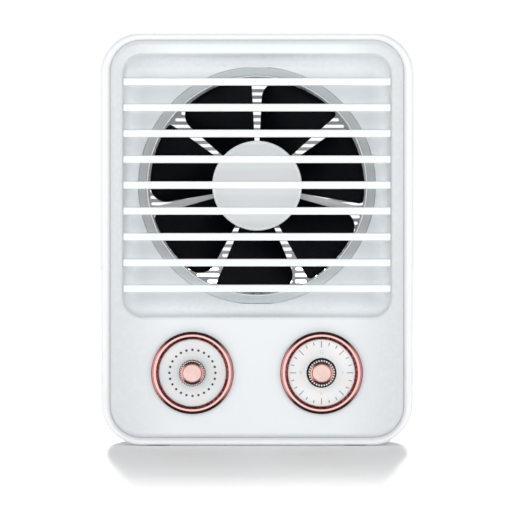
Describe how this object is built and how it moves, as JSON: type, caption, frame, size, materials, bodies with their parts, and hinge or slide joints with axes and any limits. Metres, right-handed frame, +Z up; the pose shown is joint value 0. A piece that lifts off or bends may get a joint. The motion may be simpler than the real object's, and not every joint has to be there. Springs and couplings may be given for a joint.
{
  "type": "box fan",
  "caption": "Small cordless desk box fan: portrait rounded white case, horizontal louvres over a black round fan with a white hub, two rose-gold dials below, slotted back.",
  "frame": {"origin": "centre of the footprint on the surface the foot pads stand on", "axes": "+X to the right seen from the front, +Y from the front (louvres and dials) to the back, +Z up"},
  "size_m": [0.114, 0.064, 0.1505],
  "materials": {
    "case_white": "satin white moulding",
    "panel_grey": "fine satin, pale cool grey",
    "recess_grey": "fine satin, pale cool grey",
    "louvre_white": "satin white moulding",
    "ring_grey": "fine satin grey",
    "frame_white": "moulded off-white",
    "blade_black": "polished black moulding",
    "hub_white": "satin white moulding",
    "steel": "ground steel",
    "screw_steel": "zinc plated steel",
    "magnet": "bonded ferrite, matte",
    "core_steel": "laminated steel",
    "copper": "enamelled copper wire",
    "board_green": "solder mask over glass laminate",
    "brass": "turned brass",
    "rose_gold": "polished rose-gold plating",
    "rose_satin": "satin anodised pale rose",
    "dial_silver": "spun silver, printed marks",
    "collar_black": "polished black moulding",
    "encoder_grey": "moulded grey housing",
    "plunger": "moulded plunger",
    "knob_metal": "knurled, satin",
    "connector": "moulded nylon",
    "chip_black": "moulded component",
    "cell": "metal can in a blue sleeve",
    "cradle": "moulded grey holder",
    "usb_metal": "drawn steel shell",
    "cover_white": "satin white moulding",
    "rubber_pad": "soft grey rubber",
    "wire_red": "insulated wire",
    "wire_black": "insulated wire",
    "wire_yellow": "insulated wire"
  },
  "bodies": {
    "case": {"outer_shell": "case_white", "front_panel": "panel_grey", "louvre_grille": "louvre_white", "recess_walls": "recess_grey", "fan_plate": "recess_grey", "inlet_ring": "ring_grey", "fan_duct": "frame_white", "motor_mount": "frame_white", "fan_screws": "screw_steel", "stator_core": "core_steel", "stator_coils": "copper", "motor_board": "board_green", "bearing_tube": "brass", "front_bearing": "steel", "rear_bearing": "steel", "speed_bezel": "rose_gold", "timer_bezel": "rose_gold", "speed_dial": "dial_silver", "timer_dial": "dial_silver", "timer_collar": "collar_black", "speed_encoder": "encoder_grey", "timer_encoder": "encoder_grey", "control_board": "board_green", "board_screws": "screw_steel", "motor_connector": "connector", "battery_connector": "connector", "driver_chip": "chip_black", "battery_cell": "cell", "battery_cradle": "cradle", "charge_board": "board_green", "charge_board_screws": "screw_steel", "usb_socket": "usb_metal", "rear_cover": "cover_white", "case_screws": "screw_steel", "foot_pads": "rubber_pad", "motor_lead": "wire_red", "battery_lead": "wire_black", "charge_lead": "wire_yellow"},
    "rotor": {"impeller": "blade_black", "hub_cap": "hub_white", "motor_shaft": "steel", "rotor_yoke": "steel", "rotor_magnet": "magnet", "shaft_clip": "steel"},
    "speed_switch": {"speed_plunger": "plunger"},
    "speed_control": {"speed_shaft": "steel", "speed_knob": "knob_metal", "speed_knob_ring": "rose_gold", "speed_cap": "rose_satin"},
    "timer_switch": {"timer_plunger": "plunger"},
    "timer_control": {"timer_shaft": "steel", "timer_knob": "knob_metal", "timer_knob_ring": "rose_gold", "timer_cap": "rose_satin"}
  },
  "joints": [
    {"name": "rotor_spin", "type": "hinge", "parent": "case", "child": "rotor", "pos_m": [0, -0.011, 0.095], "axis": [0, 1, 0], "continuous": true},
    {"name": "speed_press", "type": "slide", "parent": "case", "child": "speed_switch", "axis": [0, 1, 0], "range_m": [0, 0.0005], "stiffness_N_per_m": 800, "springref_m": -0.0015},
    {"name": "speed_turn", "type": "hinge", "parent": "speed_switch", "child": "speed_control", "pos_m": [-0.0235, -0.0303, 0.0266], "axis": [0, 1, 0], "continuous": true},
    {"name": "timer_press", "type": "slide", "parent": "case", "child": "timer_switch", "axis": [0, 1, 0], "range_m": [0, 0.0005], "stiffness_N_per_m": 800, "springref_m": -0.0015},
    {"name": "timer_turn", "type": "hinge", "parent": "timer_switch", "child": "timer_control", "pos_m": [0.0235, -0.0303, 0.0266], "axis": [0, 1, 0], "continuous": true}
  ]
}
